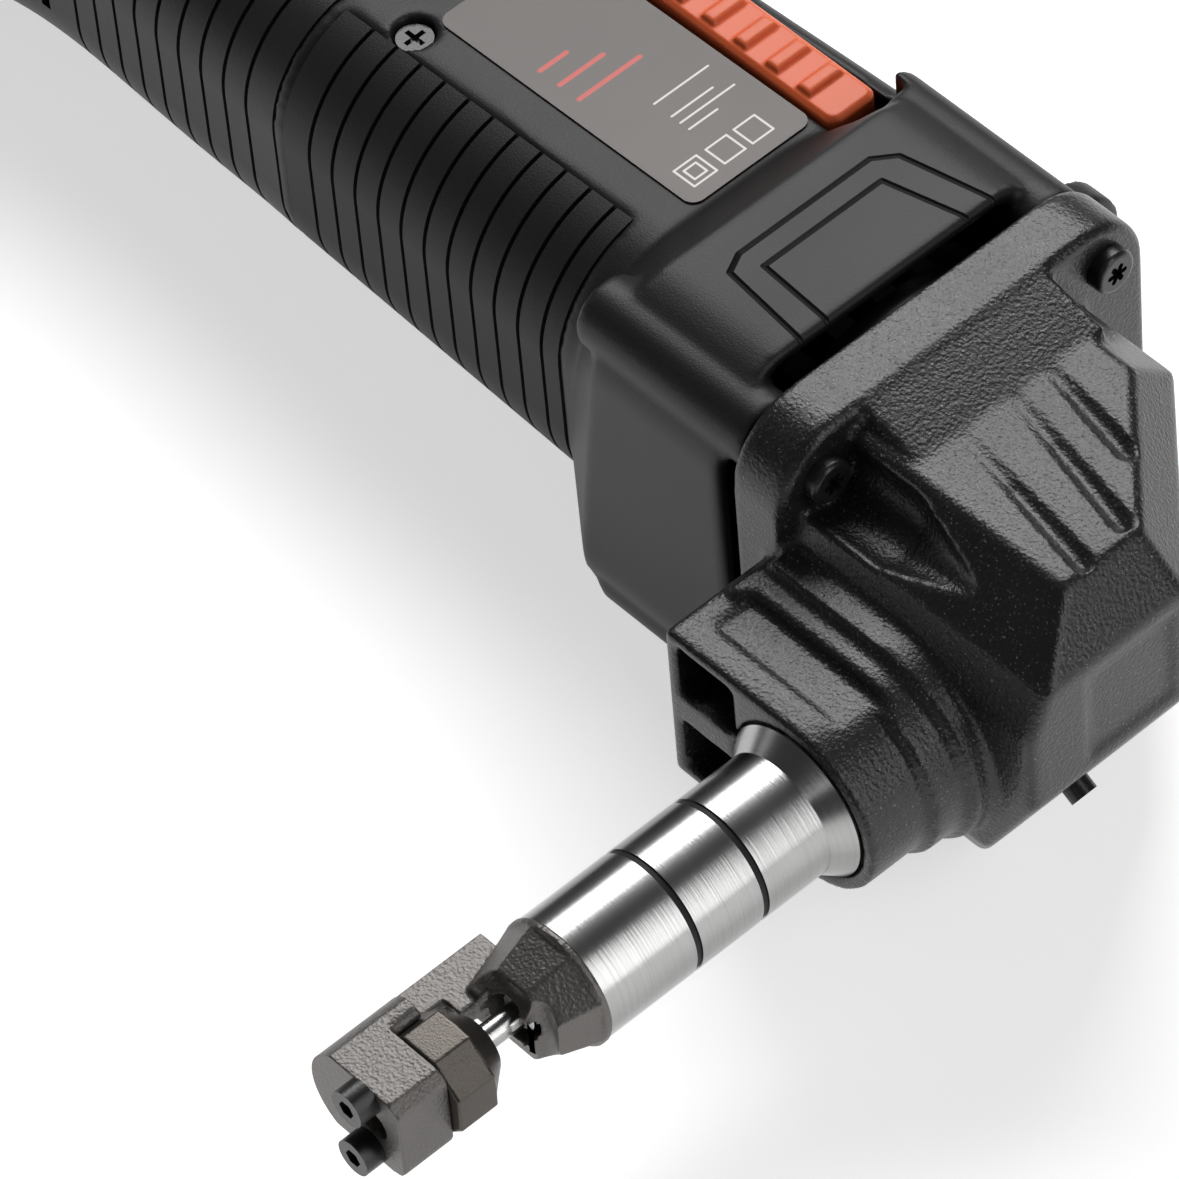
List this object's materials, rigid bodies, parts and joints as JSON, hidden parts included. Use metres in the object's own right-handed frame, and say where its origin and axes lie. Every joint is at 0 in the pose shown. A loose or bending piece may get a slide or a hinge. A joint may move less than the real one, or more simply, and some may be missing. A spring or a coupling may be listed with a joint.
{
  "type": "nibbler",
  "caption": "Electric sheet-metal nibbler with a barrel grip, a right-angle gear head and a round neck that ends in a turning die holder.",
  "frame": {"origin": "under the middle of the tool's box, on the surface it lies on", "axes": "+X along the barrel from the cord end to the gear head, -Y down the neck to the die, +Z out of the face with the rating plate"},
  "size_m": [0.327, 0.2156, 0.084],
  "materials": {
    "housing_plastic": "satin black moulded nylon",
    "baffle_plastic": "black moulded plastic",
    "grip_rubber": "soft black overmoulding",
    "ring_rubber": "dark rings",
    "plate_foil": "brown grey metallic foil",
    "orange_plastic": "orange moulded plastic",
    "head_paint": "textured black coating on an aluminium casting",
    "black_screw": "blackened steel",
    "neck_steel": "ground bright steel",
    "forged_steel": "phosphated forged steel",
    "die_steel": "dark hardened tool steel",
    "gear_steel": "machined steel",
    "bearing_steel": "bearing steel",
    "bronze": "sintered bronze",
    "lamination": "laminated electrical steel",
    "winding": "enamelled copper",
    "carbon": "carbon graphite"
  },
  "bodies": {
    "housing": {"motor_housing": "housing_plastic", "rear_handle_plate_side": "housing_plastic", "rear_handle_far_side": "housing_plastic", "handle_screws": "black_screw", "housing_screw": "black_screw", "grip_neck_side": "grip_rubber", "grip_back_side": "grip_rubber", "rating_plate": "plate_foil", "cord_gland": "grip_rubber", "cord_clamp": "housing_plastic", "switch_body": "housing_plastic", "gear_housing": "head_paint", "grease_plug": "black_screw", "gearbox_screws": "black_screw", "fan_baffle": "baffle_plastic", "bearing_plate": "head_paint", "bearing_bridge": "head_paint", "front_motor_bearing": "bearing_steel", "rear_motor_bearing": "bearing_steel", "rear_lay_bearing": "bearing_steel", "front_lay_bearing": "bearing_steel", "rear_crank_bearing": "bearing_steel", "front_crank_bearing": "bearing_steel", "neck_sleeve": "neck_steel", "neck_rings": "ring_rubber", "neck_bush": "bronze", "stator_core": "lamination", "stator_coils": "winding", "brush_holders": "housing_plastic", "carbon_brushes": "carbon", "brush_springs": "bearing_steel"},
    "armature": {"armature_shaft": "gear_steel", "armature_core": "lamination", "armature_windings": "winding", "commutator": "winding", "fan": "baffle_plastic", "motor_pinion": "gear_steel"},
    "layshaft_body": {"layshaft": "gear_steel", "lay_gear": "gear_steel"},
    "crank": {"crankshaft": "gear_steel", "crank_gear": "gear_steel", "counterweight": "gear_steel"},
    "ram_body": {"ram": "neck_steel", "wrist_pin": "neck_steel", "punch": "neck_steel"},
    "rod": {"connecting_rod": "gear_steel"},
    "die_holder": {"die_carrier": "forged_steel", "die": "die_steel", "die_screws": "black_screw"},
    "slide_switch": {"switch_slider": "orange_plastic", "switch_rod": "orange_plastic"}
  },
  "joints": [
    {"name": "armature_spin", "type": "hinge", "parent": "housing", "child": "armature", "pos_m": [0.0335, 0.0548, 0.042], "axis": [1, 0, 0], "continuous": true},
    {"name": "layshaft_spin", "type": "hinge", "parent": "housing", "child": "layshaft_body", "pos_m": [0.1035, 0.04983, 0.0247], "axis": [1, 0, 0], "continuous": true},
    {"name": "crank_spin", "type": "hinge", "parent": "housing", "child": "crank", "pos_m": [0.1335, 0.0398, 0.042], "axis": [1, 0, 0], "continuous": true},
    {"name": "ram_slide", "type": "slide", "parent": "housing", "child": "ram_body", "axis": [0, 1, 0], "range_m": [0, 0.0065]},
    {"name": "rod_swing", "type": "hinge", "parent": "ram_body", "child": "rod", "pos_m": [0.1335, 0.0088, 0.042], "axis": [1, 0, 0], "range_deg": [-6.5, 6.5]},
    {"name": "die_turn", "type": "hinge", "parent": "housing", "child": "die_holder", "pos_m": [0.1335, -0.0629, 0.042], "axis": [0, -1, 0], "range_deg": [-180, 180]},
    {"name": "switch_slide", "type": "slide", "parent": "housing", "child": "slide_switch", "axis": [1, 0, 0], "range_m": [0, 0.006]}
  ],
  "couplings": [
    {"joint": "layshaft_spin", "follows": "armature_spin", "ratio": -0.28571},
    {"joint": "crank_spin", "follows": "armature_spin", "ratio": 0.095238}
  ]
}
